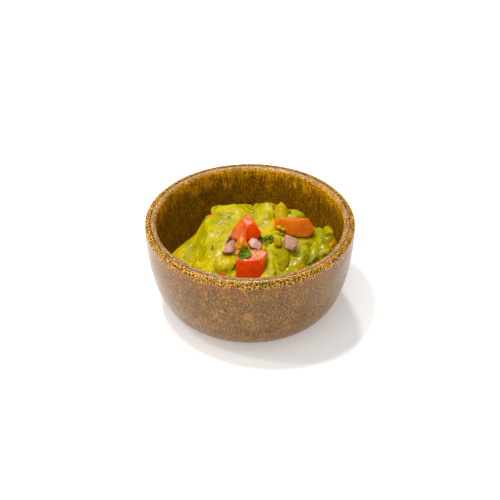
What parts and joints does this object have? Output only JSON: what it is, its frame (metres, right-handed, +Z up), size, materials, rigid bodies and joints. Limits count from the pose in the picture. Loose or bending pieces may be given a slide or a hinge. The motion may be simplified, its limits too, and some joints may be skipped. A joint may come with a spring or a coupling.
{
  "type": "guacamole in a stoneware bowl",
  "caption": "Small round glazed stoneware bowl filled with a sloping heap of chunky guacamole, topped with diced tomato, red onion, avocado and chopped cilantro.",
  "frame": {"origin": "centre of the bowl's underside, at the level of the foot ring", "axes": "+Z up, +Y to the back of the bowl, where the heap stops short of the wall, +X to the right seen from the front"},
  "size_m": [0.11, 0.11, 0.0582],
  "materials": {
    "glazed_stoneware": "brown reactive glaze, glossy, golden and speckled where it breaks at the lip",
    "avocado_mash": "moist, smeared and lumpy",
    "tomato": "wet cut flesh and shiny skin",
    "red_onion": "translucent pale pink with a purple skin edge",
    "avocado_flesh": "smooth moist cut flesh",
    "cilantro": "fresh dark green leaf and paler stem"
  },
  "bodies": {
    "root": {"bowl": "glazed_stoneware", "guacamole": "avocado_mash", "tomato_left": "tomato", "tomato_front": "tomato", "tomato_sliver": "tomato", "tomato_right": "tomato", "onion_left": "red_onion", "onion_middle": "red_onion", "onion_right": "red_onion", "avocado_back": "avocado_flesh", "avocado_front": "avocado_flesh", "avocado_dice": "avocado_flesh"}
  },
  "joints": []
}
